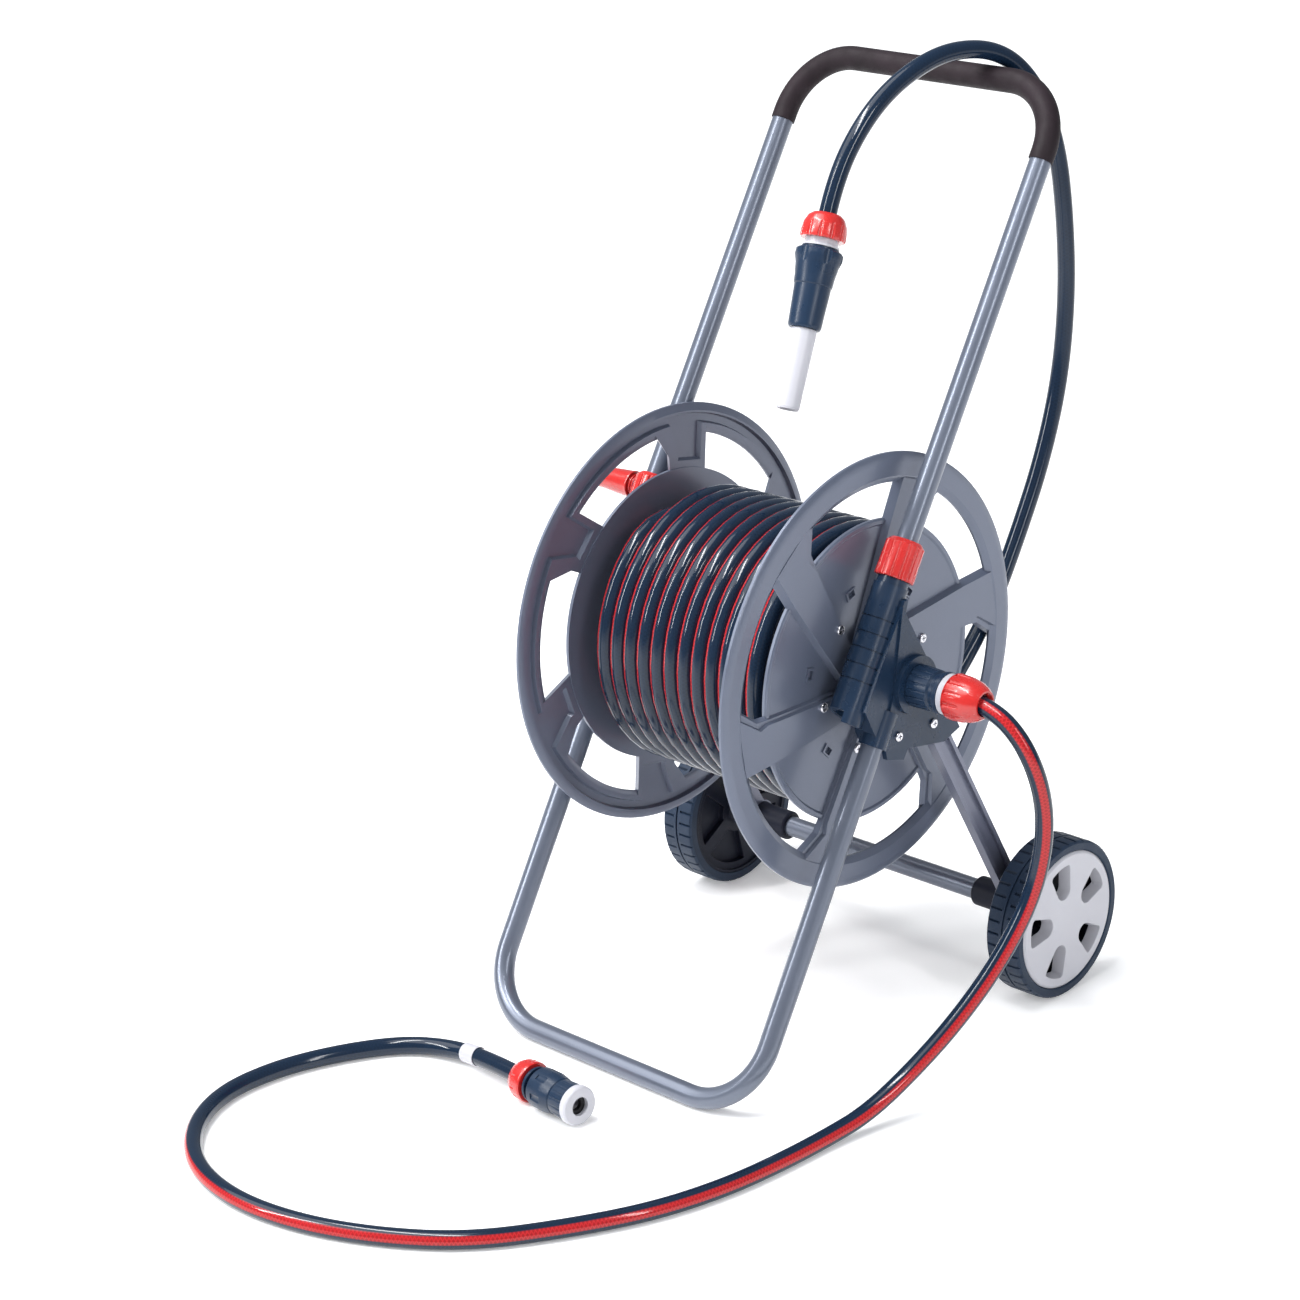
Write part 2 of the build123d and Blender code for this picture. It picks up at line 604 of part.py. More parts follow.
crank_grip = turned(
    GRIP_CENTRE, (-1, 0, 0),
    [(CRANK_OUT + 0.6, PIN_R + RUNNING_FIT), (CRANK_OUT + 0.6, 10.5), (192.6, 10.5), (192.6, 9.4), (194, 9.4),
     (194, 10.8), (195.6, 10.8), (195.6, 9.8), (197, 9.8), (197, 13), (198.4, 13.4), (200, 13),
     (215, 12), (232, 10.6), (246, 10.2), (251, 9.6), (253, 8.4), (253, 7.6), (245.5, 7.6),
     (245.5, PIN_R + RUNNING_FIT)],
)
save(crank_grip, "crank_grip")

# ---------------------------------------------------------------- sliding handle
handle_foot = along(SOCKET_FOOT, HANDLE_DIR, HANDLE_FOOT)
handle_head = along(SOCKET_FOOT, HANDLE_DIR, HANDLE_TOP)


def flip(point):
    return Vector(-point.X, point.Y, point.Z)


handle_tube = bent_tube(
    [handle_foot, handle_head, flip(handle_head), flip(handle_foot)],
    HANDLE_BEND_R, TUBE_R, TUBE_R - TUBE_WALL,
)
save(handle_tube, "handle_tube")

SLEEVE_FROM = HANDLE_TOP - 69
sleeve_foot = along(SOCKET_FOOT, HANDLE_DIR, SLEEVE_FROM)
handle_sleeve = bent_tube(
    [sleeve_foot, handle_head, flip(handle_head), flip(sleeve_foot)], HANDLE_BEND_R, GRIP_R, TUBE_R + 0.02
)
save(handle_sleeve, "handle_sleeve")

# ---------------------------------------------------------------- clamp nuts and collets
CLAMP_FLUTES = 14
clamp_nut_right = turned(
    SOCKET_FOOT, HANDLE_DIR,
    [(COLLAR_TOP + 0.4, NECK_R + RUNNING_FIT), (COLLAR_TOP + 0.4, CLAMP_R - 0.8), (COLLAR_TOP + 1.4, CLAMP_R),
     (CLAMP_TOP - 4, CLAMP_R - 0.6), (CLAMP_TOP, CLAMP_R - 4.5), (CLAMP_TOP, TUBE_R + LOOSE_FIT),
     (CLAMP_TOP - 4, TUBE_R + LOOSE_FIT), (CLAMP_TOP - 4, NECK_R + RUNNING_FIT)],
    flutes=(CLAMP_FLUTES, CLAMP_R + 0.6, 2.1, COLLAR_TOP, CLAMP_TOP - COLLAR_TOP + 1),
)
collet_right = turned(
    SOCKET_FOOT, HANDLE_DIR,
    [(NECK_TOP, TUBE_R + RUNNING_FIT), (NECK_TOP, 13), (CLAMP_TOP - 6, 12.2), (CLAMP_TOP - 4.6, 11.2),
     (CLAMP_TOP - 4.6, TUBE_R + RUNNING_FIT)],
)
for stem, piece in (("clamp_nut", clamp_nut_right), ("clamp_collet", collet_right)):
    save(piece, f"{stem}_right")
    save(mirrored(piece), f"{stem}_left")

# ---------------------------------------------------------------- water inlet connector
INLET_BODY_END = 212.0
INLET_RING_END = 219.0
X_DIR = (1, 0, 0)
inlet_connector = turned(
    REEL_CENTRE, X_DIR,
    [(BOSS_OUT, JOURNAL_R + RUNNING_FIT), (BOSS_OUT, 18.8), (BOSS_OUT + 2, 19.4), (200, 18.8), (202, 17),
     (206, 17), (208, 19.4), (INLET_BODY_END, 19.4), (INLET_BODY_END, 9),
     (JOURNAL_END + 0.5, 9), (JOURNAL_END + 0.5, JOURNAL_R + RUNNING_FIT)],
    flutes=(18, 20.0, 1.5, BOSS_OUT + 1, 22),
)
save(inlet_connector, "inlet_connector")
inlet_ring = turned(
    REEL_CENTRE, X_DIR,
    [(INLET_BODY_END, 7), (INLET_BODY_END, 18.8), (INLET_RING_END, 18.8), (INLET_RING_END, 16),
     (244, 16), (244, 7)],
)
save(inlet_ring, "inlet_ring")
NUT_PROFILE = [
    (0, 16.1), (0, 20.2), (2, 21), (14, 20.6), (24, 18.4), (30, 15.6), (34, 12.6), (34, 11), (31, 8.8),
    (25.6, 8.8), (25.6, 16.1),
]


def hose_nut(origin, direction):
    """A domed ribbed nut that clamps the hose; its open end is at the origin."""
    return turned(origin, direction, NUT_PROFILE, flutes=(12, 22.6, 3.2, 1.5, 34))


inlet_nut = hose_nut(along(REEL_CENTRE, X_DIR, INLET_RING_END), X_DIR)
save(inlet_nut, "inlet_nut")

# ---------------------------------------------------------------- hoses


def turn_radii(points):
    """The bend at each corner of a route: 0.45 of its shorter run over the tangent of half the turn."""
    radii = []
    for before, corner, after in zip(points, points[1:], points[2:]):
        run_in = Vector(*corner) - Vector(*before)
        run_out = Vector(*after) - Vector(*corner)
        half_turn = math.radians(run_in.get_angle(run_out)) / 2
        radii.append(0.45 * min(run_in.length, run_out.length) / math.tan(half_turn))
    return radii


def hose_tube(name, points):
    """A plain hose along its route; prints its bends and compares its volume with its length."""
    radii = turn_radii(points)
    with BuildPart() as piece:
        with BuildLine() as path:
            FilletPolyline(*points, radius=radii)
        with BuildSketch(Plane(origin=path.line @ 0, z_dir=path.line % 0)):
            Circle(HOSE_R)
        sweep(path=path.line)
    length = path.wires()[0].length
    section = math.pi * HOSE_R ** 2
    print(name, "bends", [round(r) for r in radii], "length", round(length),
          "volume ratio", round(piece.part.volume / (section * length), 4))
    save(piece, name)


# from the inlet nut down beside the wheel, forward on the ground and round to the tap connector
SUPPLY_ROUTE = [
    (246, -10.5, 352.4), (263, -10.5, 348.8), (281, -10, 338.8), (296, -6.5, 319), (304, 1.5, 288),
    (304, 9.5, 252), (301, 9.5, 214), (296, 0.5, 177), (289, -18.5, 141), (281, -45.5, 107),
    (270, -80.5, 72), (257, -120.5, 40), (246, -166.5, 15), (239, -215.5, 8.4), (236, -272.5, 8.4),
    (228, -335.5, 8.4), (208, -402.5, 8.4), (172, -468.5, 8.4), (126, -533.5, 8.4), (66, -576.5, 8.4),
    (-4, -606.5, 8.4), (-78, -616.5, 8.4), (-148, -600.5, 8.4), (-202, -558.5, 8.4),
    (-231, -500.5, 8.4), (-228, -435.5, 8.4), (-205, -376.5, 8.4), (-172, -328.5, 8.6),
    (-126, -309, 11.5), (-77, -312.3, 17), (-28, -317.6, 18.4),
]
hose_tube("supply_hose", SUPPLY_ROUTE)

# from the coil up behind the cart, over the handle's top bar and down to the nozzle
TAIL_ROUTE = [
    (100.3, 48.5, 241.7), (102, 95.5, 267), (105, 141.5, 305), (107, 186.5, 354), (109, 224, 417),
    (111, 257.5, 482), (112, 282, 555), (112, 291, 633), (110, 289, 707), (104, 284.5, 771),
    (91, 271, 827), (71.5, 243, 863), (51, 193, 869.5), (38, 141, 851), (31, 98, 820), (27, 62, 773),
    (31, 44.5, 738),
]
hose_tube("tail_hose", TAIL_ROUTE)

# the wound hose: one ring with a bump for each turn of its outer layer, and a low step
# where the last turn has left the reel
coil_step = COIL_START + (COIL_TURNS - 1) * COIL_PITCH
coil_end = coil_step + COIL_PITCH
coil_foot = DRUM_R + LOOSE_FIT
with BuildPart() as wound_hose:
    with BuildSketch(section_plane(REEL_CENTRE, X_DIR)):
        with BuildLine():
            for turn in range(COIL_TURNS - 1):
                left = COIL_START + turn * COIL_PITCH
                ThreePointArc(
                    (left, COIL_R - 6), (left + COIL_PITCH / 2, COIL_R), (left + COIL_PITCH, COIL_R - 6)
                )
            Polyline(
                (coil_step, COIL_R - 6), (coil_step, COIL_R - 17), (coil_end, COIL_R - 17),
                (coil_end, coil_foot), (COIL_START, coil_foot), (COIL_START, COIL_R - 6),
            )
        make_face()
    revolve(axis=Axis(REEL_CENTRE, X_DIR))
save(wound_hose, "wound_hose")

# ---------------------------------------------------------------- nozzle
NOZZLE_TOP = TAIL_ROUTE[-1]
NOZZLE_DIR = tuple(Vector(*TAIL_ROUTE[-1]) - Vector(*TAIL_ROUTE[-2]))
nozzle_nut = turned(
    NOZZLE_TOP, NOZZLE_DIR,
    [(-7, 10.8), (-7, 13), (-4, 16.6), (2, 19.4), (9, 20.4), (14, 20.6), (16, 19.8), (16, 15.1), (0, 15.1),
     (0, 8.8), (-4, 8.8)],
    flutes=(12, 22.4, 3.2, -12, 31),
)
save(nozzle_nut, "nozzle_nut")
nozzle_core = turned(
    NOZZLE_TOP, NOZZLE_DIR,
    [(0, 6), (0, 15), (21, 15), (21, 16.5), (23, 16.5), (23, 10), (97, 10), (97, 11.6), (99, 12),
     (167, 10.4), (169, 9.6), (169, 7.2), (97, 7.2), (95, 6)],
)
save(nozzle_core, "nozzle_core")
nozzle_sleeve = turned(
    NOZZLE_TOP, NOZZLE_DIR,
    [(23.6, 10 + RUNNING_FIT), (23.6, 17), (25.6, 17), (25.6, 19.4), (27, 21.2), (32, 21.4), (39, 19.4),
     (49, 18), (57, 17.4), (58, 16.6), (90, 15.2), (94, 15), (96.4, 14), (96.4, 10 + RUNNING_FIT)],
    flutes=(6, 25.4, 6.0, 22, 24),
)
save(nozzle_sleeve, "nozzle_sleeve")

# ---------------------------------------------------------------- tap connector on the supply hose's end
TAP_TOP = SUPPLY_ROUTE[-1]
TAP_DIR = tuple(Vector(*SUPPLY_ROUTE[-1]) - Vector(*SUPPLY_ROUTE[-2]))
SPIGOT_R = 9.5
SEAT_R = 9.4              # seat of the seal inside the adapter
SOCKET_BORE_R = 8.6       # mouth of the adapter
MOUTH_IN = 75.5
MOUTH_OUT = 80.0
tap_nut = turned(
    TAP_TOP, TAP_DIR,
    [(-6, 10.6), (-6, 12.6), (-3, 16), (3, 18.8), (13, 19.2), (15, 18.4), (15, 14.1), (0, 14.1), (0, 8.8),
     (-3, 8.8)],
    flutes=(12, 21.0, 3.0, -8, 16),
)
save(tap_nut, "tap_nut")
tap_core = turned(
    TAP_TOP, TAP_DIR,
    [(0, 6), (0, 14), (17, 14), (17, 16.4), (20, 16.4), (20, 12), (66, 12), (66, SPIGOT_R + RUNNING_FIT),
     (40, SPIGOT_R + RUNNING_FIT), (40, 6)],
)
save(tap_core, "tap_core")
tap_sleeve = turned(
    TAP_TOP, TAP_DIR,
    [(24.5, 12 + RUNNING_FIT), (24.5, 17), (26, 18.6), (42, 19), (53, 17), (54, 16), (54, 12 + RUNNING_FIT)],
    flutes=(6, 24.0, 6.4, 32, 12),
)
save(tap_sleeve, "tap_sleeve")
tap_rib_ring = turned(
    TAP_TOP, TAP_DIR, [(54.4, 12), (54.4, 16.6), (66, 17.2), (72, 17.4), (72, 15.5), (66, 15.5), (66, 12)],
    flutes=(16, 18.6, 2.0, 54, 18),
)
save(tap_rib_ring, "tap_rib_ring")
tap_adapter = turned(
    TAP_TOP, TAP_DIR,
    [(44, 6.5), (44, SPIGOT_R), (66.6, SPIGOT_R), (66.6, 15.2), (72.6, 15.2), (72.6, 18.2), (78, 18.2),
     (MOUTH_OUT, 17), (MOUTH_OUT, SOCKET_BORE_R), (MOUTH_IN, SOCKET_BORE_R), (MOUTH_IN, SEAT_R), (71, SEAT_R),
     (71, 6.5)],
)
save(tap_adapter, "tap_adapter")
tap_seal = turned(TAP_TOP, TAP_DIR, [(71, 5), (71, SEAT_R), (MOUTH_IN, SEAT_R), (MOUTH_IN, 5)])
save(tap_seal, "tap_seal")

# white band round the supply hose near the connector
band_from, band_to = Vector(*SUPPLY_ROUTE[-3]), Vector(*SUPPLY_ROUTE[-2])
hose_band = turned(
    tuple((band_from + band_to) / 2), tuple(band_to - band_from),
    [(-9, HOSE_R + 0.05), (-9, HOSE_R + 0.9), (9, HOSE_R + 0.9), (9, HOSE_R + 0.05)],
)
save(hose_band, "hose_band")
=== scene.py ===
import json
import math

import bmesh
import bpy
from mathutils import Matrix, Vector


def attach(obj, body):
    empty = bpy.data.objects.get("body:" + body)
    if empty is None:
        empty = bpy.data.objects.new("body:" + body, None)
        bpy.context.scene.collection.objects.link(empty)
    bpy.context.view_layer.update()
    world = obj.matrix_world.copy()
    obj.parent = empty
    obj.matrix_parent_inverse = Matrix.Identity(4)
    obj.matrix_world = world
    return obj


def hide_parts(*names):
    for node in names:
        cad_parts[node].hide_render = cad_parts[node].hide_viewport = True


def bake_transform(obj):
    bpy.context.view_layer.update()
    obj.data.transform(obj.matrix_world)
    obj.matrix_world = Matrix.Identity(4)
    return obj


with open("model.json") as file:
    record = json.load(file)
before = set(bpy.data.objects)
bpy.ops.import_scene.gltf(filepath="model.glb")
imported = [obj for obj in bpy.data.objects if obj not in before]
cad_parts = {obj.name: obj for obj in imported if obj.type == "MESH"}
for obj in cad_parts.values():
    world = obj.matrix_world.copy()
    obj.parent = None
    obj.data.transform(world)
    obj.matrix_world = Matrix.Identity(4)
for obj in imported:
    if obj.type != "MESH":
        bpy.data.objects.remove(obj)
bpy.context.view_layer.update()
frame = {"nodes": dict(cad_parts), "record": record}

# ---------------------------------------------------------------- places, in metres
REEL = Vector((0, -0.0105, 0.3527))
HOSE_D = 0.0165
HOSE_R = HOSE_D / 2
COIL_TURNS = 12
COIL_LAYERS = 3
COIL_PITCH = 0.0171
YARN_STARTS = 8.0
YARN_PITCH = 0.0035
STRIPE_SHARE = 0.15       # of the hose's circumference
COIL_STEPS = 16           # route points in each turn
COIL_FIRST_X = -0.0885
COIL_LAST_X = 0.1003
STRIPE_LEAN = math.radians(44)
COIL_OUTER_R = 0.12575    # to the middle of the outer layer's hose
LAYER_STEP = 0.01475
COIL_START_ANGLE = math.radians(90)
COIL_END_ANGLE = math.radians(-62)
TURNS_LEFT_OFF = 2
ROUTE_ORDER = 3
HOSE_SIDES = 28
COIL_SIDES = 24
SUPPLY_STRIPE = (0, -0.72, 0.69)
TAIL_STRIPE = (-1, 0, 0)

SUPPLY_ROUTE = [
    (0.246, -0.0105, 0.3524), (0.263, -0.0105, 0.3488), (0.281, -0.01, 0.3388),
    (0.296, -0.0065, 0.319), (0.304, 0.0015, 0.288), (0.304, 0.0095, 0.252),
    (0.301, 0.0095, 0.214), (0.296, 0.0005, 0.177), (0.289, -0.0185, 0.141),
    (0.281, -0.0455, 0.107), (0.27, -0.0805, 0.072), (0.257, -0.1205, 0.04),
    (0.246, -0.1665, 0.015), (0.239, -0.2155, 0.0084), (0.236, -0.2725, 0.0084),
    (0.228, -0.3355, 0.0084), (0.208, -0.4025, 0.0084), (0.172, -0.4685, 0.0084),
    (0.126, -0.5335, 0.0084), (0.066, -0.5765, 0.0084), (-0.004, -0.6065, 0.0084),
    (-0.078, -0.6165, 0.0084), (-0.148, -0.6005, 0.0084), (-0.202, -0.5585, 0.0084),
    (-0.231, -0.5005, 0.0084), (-0.228, -0.4355, 0.0084), (-0.205, -0.3765, 0.0084),
    (-0.172, -0.3285, 0.0086), (-0.126, -0.309, 0.0115), (-0.077, -0.3123, 0.017),
    (-0.028, -0.3176, 0.0184),
]
TAIL_ROUTE = [
    (0.1003, 0.0485, 0.2417), (0.102, 0.0955, 0.267), (0.105, 0.1415, 0.305),
    (0.107, 0.1865, 0.354), (0.109, 0.224, 0.417), (0.111, 0.2575, 0.482),
    (0.112, 0.282, 0.555), (0.112, 0.291, 0.633), (0.11, 0.289, 0.707),
    (0.104, 0.2845, 0.771), (0.091, 0.271, 0.827), (0.0715, 0.243, 0.863),
    (0.051, 0.193, 0.8695), (0.038, 0.141, 0.851), (0.031, 0.098, 0.82),
    (0.027, 0.062, 0.773), (0.031, 0.0445, 0.738),
]


# ---------------------------------------------------------------- camera, light and floor
CAMERA_ANGLES = (43.923, 20.925, -1.939)      # azimuth, elevation and roll in degrees
CAMERA_PLACE = (1.93328, -2.17233, 1.45556)
CAMERA_LENS = 93.67
LIGHT_TARGET = (0, 0, 0.4)
SUN_DIRECTION = (0.42, 0.35, -1)
FLOOR_HALF = 60.0


def make_camera():
    azimuth, elevation, roll = (math.radians(a) for a in CAMERA_ANGLES)
    back = Vector((
        math.sin(azimuth) * math.cos(elevation), -math.cos(azimuth) * math.cos(elevation),
        math.sin(elevation),
    ))
    right = Vector((math.cos(azimuth), math.sin(azimuth), 0))
    up = back.cross(right)
    turned_right = right * math.cos(roll) + up * math.sin(roll)
    turned_up = up * math.cos(roll) - right * math.sin(roll)
    data = bpy.data.cameras.new("camera")
    data.sensor_width = 36
    data.lens = CAMERA_LENS
    camera = bpy.data.objects.new("camera", data)
    bpy.context.collection.objects.link(camera)
    turn = Matrix((turned_right, turned_up, back)).transposed().to_4x4()
    camera.matrix_world = Matrix.Translation(CAMERA_PLACE) @ turn
    bpy.context.scene.camera = camera


def area_light(name, place, target, size, power, colour=(1, 1, 1)):
    data = bpy.data.lights.new(name, "AREA")
    data.shape = "RECTANGLE"
    data.size, data.size_y = size
    data.energy = power
    data.color = colour
    light = bpy.data.objects.new(name, data)
    bpy.context.collection.objects.link(light)
    light.location = place
    light.rotation_euler = (Vector(target) - Vector(place)).to_track_quat("-Z", "Y").to_euler()


def make_studio():
    """White backdrop, soft overhead sun and strip lights that draw narrow highlights."""
    world = bpy.data.worlds.new("studio")
    bpy.context.scene.world = world
    world.use_nodes = True
    nodes = world.node_tree.nodes
    room = nodes["Background"]
    room.inputs["Color"].default_value = (0.90, 0.94, 1.0, 1)
    room.inputs["Strength"].default_value = 0.42
    sun = bpy.data.lights.new("sun", "SUN")
    sun.energy = 2.3
    sun.angle = math.radians(55)
    lamp = bpy.data.objects.new("sun", sun)
    bpy.context.collection.objects.link(lamp)
    lamp.rotation_euler = Vector(SUN_DIRECTION).to_track_quat("-Z", "Y").to_euler()
    area_light("left_strip", (-1.5, -2.7, 2.3), LIGHT_TARGET, (0.2, 2.4), 84)
    area_light("right_strip", (2.9, -0.6, 1.9), LIGHT_TARGET, (0.22, 2.2), 34)
    area_light("top_strip", (-0.4, -0.9, 3.0), LIGHT_TARGET, (2.4, 0.2), 64)
    bpy.context.scene.view_settings.view_transform = "Standard"


def make_floor():
    mesh = bpy.data.meshes.new("floor")
    half = FLOOR_HALF
    mesh.from_pydata(
        [(-half, -half, 0), (half, -half, 0), (half, half, 0), (-half, half, 0)], [], [(0, 1, 2, 3)]
    )
    floor = bpy.data.objects.new("floor", mesh)
    bpy.context.collection.objects.link(floor)
    material = bpy.data.materials.new("floor_paint")
    material.use_nodes = True
    shader = material.node_tree.nodes["Principled BSDF"]
    shader.inputs["Base Color"].default_value = (0.93, 0.93, 0.93, 1)
    shader.inputs["Roughness"].default_value = 0.95
    shader.inputs["Specular IOR Level"].default_value = 0.1
    shader.inputs["Emission Color"].default_value = (1, 1, 1, 1)
    shader.inputs["Emission Strength"].default_value = 0.22
    mesh.materials.append(material)


# ---------------------------------------------------------------- materials
class Finish:
    """A principled material with object coordinates and helpers that add nodes to it."""

    def __init__(self, name):
        self.material = bpy.data.materials.new(name)
        self.material.use_nodes = True
        self.tree = self.material.node_tree
        self.shader = self.tree.nodes["Principled BSDF"]
        self.coords = self.add("ShaderNodeTexCoord").outputs["Object"]
        self.normal = None

    def add(self, kind, **values):
        node = self.tree.nodes.new(kind)
        for key, value in values.items():
            setattr(node, key, value)
        return node

    def link(self, source, target):
        self.tree.links.new(source, target)

    def set(self, **values):
        for key, value in values.items():
            self.shader.inputs[key.replace("_", " ")].default_value = value

    def noise(self, scale, detail=3.0, rough=0.5, stretch=None):
        node = self.add("ShaderNodeTexNoise")
        node.inputs["Scale"].default_value = scale
        node.inputs["Detail"].default_value = detail
        node.inputs["Roughness"].default_value = rough
        coords = self.coords
        if stretch:
            mapping = self.add("ShaderNodeMapping")
            mapping.inputs["Scale"].default_value = stretch
            self.link(coords, mapping.inputs["Vector"])
            coords = mapping.outputs["Vector"]
        self.link(coords, node.inputs["Vector"])
        return node.outputs["Fac"]

    def maths(self, operation, first, second=None):
        node = self.add("ShaderNodeMath", operation=operation)
        for socket, value in zip(node.inputs, (first, second)):
            if isinstance(value, (int, float)):
                socket.default_value = value
            elif value is not None:
                self.link(value, socket)
        return node.outputs[0]

    def yarn_wave(self, split, starts):
        """Ribs of the yarns that run round the hose one way, from its along and around coordinates."""
        turn = self.maths("ADD", self.maths("MULTIPLY", split.outputs["Y"], starts), split.outputs["X"])
        return self.maths("SINE", self.maths("MULTIPLY", turn, 2 * math.pi))

    def range(self, value, low, high, start=0.3, end=0.7):
        node = self.add("ShaderNodeMapRange")
        self.link(value, node.inputs["Value"])
        node.inputs["From Min"].default_value = start
        node.inputs["From Max"].default_value = end
        node.inputs["To Min"].default_value = low
        node.inputs["To Max"].default_value = high
        return node.outputs["Result"]

    def mix(self, factor, first, second):
        node = self.add("ShaderNodeMix", data_type="RGBA")
        self.link(factor, node.inputs["Factor"])
        for socket, value in ((node.inputs[6], first), (node.inputs[7], second)):
            if isinstance(value, tuple):
                socket.default_value = (*value, 1)
            else:
                self.link(value, socket)
        return node.outputs[2]

    def bump(self, height, strength, distance):
        node = self.add("ShaderNodeBump")
        node.inputs["Strength"].default_value = strength
        node.inputs["Distance"].default_value = distance
        self.link(height, node.inputs["Height"])
        if self.normal is not None:
            self.link(self.normal, node.inputs["Normal"])
        self.normal = node.outputs["Normal"]
        self.link(self.normal, self.shader.inputs["Normal"])

    def colour(self, source):
        self.link(source, self.shader.inputs["Base Color"])

    def roughness(self, source):
        self.link(source, self.shader.inputs["Roughness"])


def shade(colour, factor):
    return tuple(min(1.0, c * factor) for c in colour)


def metallic_paint(name, colour, metallic, rough, flake=0.12, peel=0.05):
    """Silver-grey paint or moulded metallic plastic: fine flakes, soft flow marks and orange peel."""
    finish = Finish(name)
    finish.set(Metallic=metallic, Coat_Weight=0.25, Coat_Roughness=0.18)
    flakes = finish.noise(5200, 1.0)
    clouds = finish.noise(9, 3.0, 0.6)
    base = finish.mix(finish.range(clouds, 0, 1), shade(colour, 0.95), shade(colour, 1.05))
    bright = finish.mix(finish.range(flakes, 0, flake * 2.5, 0.45, 0.75), base, shade(colour, 1.7))
    finish.colour(bright)
    finish.roughness(finish.range(finish.noise(18, 2.0), rough - 0.02, rough + 0.03))
    if peel:
        finish.bump(finish.noise(420, 2.0), peel, 0.0002)
    finish.bump(flakes, 0.02, 0.00005)
    return finish.material


def moulded(name, colour, rough, grain=0.08, spread=0.12, coat=0.0, subsurface=0.0, gloss=0.5):
    """Injection-moulded plastic: faint colour drift, uneven gloss and a fine spark-eroded grain."""
    finish = Finish(name)
    finish.set(Coat_Weight=coat, Coat_Roughness=0.12, Specular_IOR_Level=gloss)
    if subsurface:
        finish.set(Subsurface_Weight=subsurface, Subsurface_Radius=(0.004, 0.003, 0.003))
    clouds = finish.noise(14, 3.0, 0.6)
    drift = finish.range(clouds, 0, 1)
    finish.colour(finish.mix(drift, shade(colour, 1 - spread), shade(colour, 1 + spread)))
    finish.roughness(finish.range(finish.noise(60, 4.0), rough - 0.06, rough + 0.07))
    finish.bump(finish.noise(1900, 2.0), grain, 0.0003)
    finish.bump(finish.noise(85, 2.0), 0.04, 0.0006)
    return finish.material


def foam(name, colour):
    """Closed-cell foam sleeve with fine open pores and a slight sheen."""
    finish = Finish(name)
    finish.set(Sheen_Weight=0.01, Sheen_Roughness=0.4, Specular_IOR_Level=0.16)
    pores = finish.add("ShaderNodeTexVoronoi")
    pores.inputs["Scale"].default_value = 1500
    finish.link(finish.coords, pores.inputs["Vector"])
    clouds = finish.noise(30, 4.0, 0.6)
    finish.colour(finish.mix(finish.range(clouds, 0, 1), shade(colour, 0.75), shade(colour, 1.35)))
    finish.roughness(finish.range(finish.noise(90, 4.0), 0.5, 0.66))
    finish.bump(pores.outputs["Distance"], 0.35, 0.0003)
    finish.bump(finish.noise(420, 4.0), 0.12, 0.0005)
    return finish.material


def hose_skin(name, colour, stripe, rough):
    """Glossy hose skin with a soft-edged stripe; the braid's crossed yarns show through as fine ribs."""
    finish = Finish(name)
    finish.set(Coat_Weight=0.1, Coat_Roughness=0.03, Specular_IOR_Level=0.27)
    uv = finish.add("ShaderNodeUVMap", uv_map="along").outputs["UV"]
    split = finish.add("ShaderNodeSeparateXYZ")
    finish.link(uv, split.inputs["Vector"])
    yarns = [finish.yarn_wave(split, hand * YARN_STARTS) for hand in (1, -1)]
    cross = finish.maths("MAXIMUM", yarns[0], yarns[1])
    braid = finish.range(cross, 0, 1, 0.2, 1.0)
    off_middle = finish.maths("ABSOLUTE", finish.maths("SUBTRACT", split.outputs["Y"], 0.5))
    inside = finish.range(off_middle, 1, 0, STRIPE_SHARE / 2 - 0.012, STRIPE_SHARE / 2 + 0.01)
    clouds = finish.range(finish.noise(22, 3.0, 0.6), 0, 1)
    skin = finish.mix(clouds, shade(colour, 0.85), shade(colour, 1.15))
    skin = finish.mix(braid, skin, shade(colour, 1.2))
    line = finish.mix(clouds, shade(stripe, 0.9), shade(stripe, 1.1))
    line = finish.mix(braid, line, shade(stripe, 1.6))
    finish.colour(finish.mix(inside, skin, line))
    finish.roughness(finish.range(finish.noise(70, 4.0), rough - 0.03, rough + 0.04))
    finish.bump(braid, 0.08, 0.0001)
    finish.bump(finish.noise(260, 3.0), 0.02, 0.0001)
    return finish.material


def steel(name, colour, rough):
    """Zinc-plated steel with fine turning marks."""
    finish = Finish(name)
    finish.set(Metallic=1.0)
    drift = finish.range(finish.noise(160, 4.0), 0, 1)
    finish.colour(finish.mix(drift, shade(colour, 0.85), shade(colour, 1.1)))
    finish.roughness(finish.range(finish.noise(240, 4.0), rough - 0.07, rough + 0.1))
    finish.bump(finish.noise(2400, 2.0), 0.08, 0.0002)
    return finish.material


